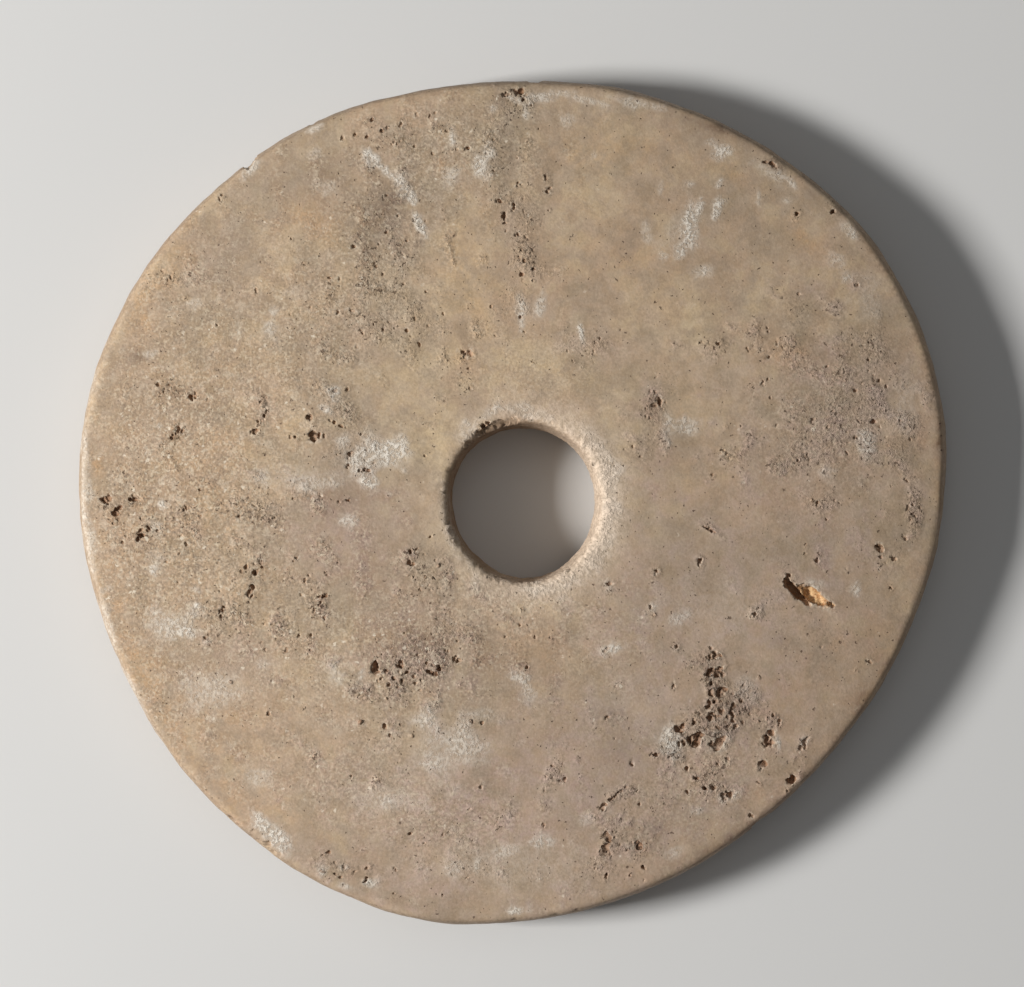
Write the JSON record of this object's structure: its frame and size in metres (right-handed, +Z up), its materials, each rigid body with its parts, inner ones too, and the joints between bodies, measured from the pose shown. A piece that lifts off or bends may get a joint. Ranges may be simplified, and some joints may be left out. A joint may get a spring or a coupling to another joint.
{
  "type": "stone money disc",
  "caption": "Heavy ring-shaped limestone money disc with an uneven round outline, a domed pitted face and a hole through the middle for a carrying pole, lying flat.",
  "frame": {"origin": "on the surface that the stone lies on, under the middle of its outline", "axes": "+Z up, out of the domed face; +X along the stone's longest width, to the right as the domed face is seen; the hole's middle is 6.5 mm towards +X of the origin"},
  "size_m": [0.4994, 0.4856, 0.052],
  "materials": {
    "limestone": "hand-ground cave limestone, warm beige with grey and rusty clouds, open solution pits and pale crystalline patches, faintly waxy"
  },
  "bodies": {
    "root": {"money_stone": "limestone"}
  },
  "joints": []
}
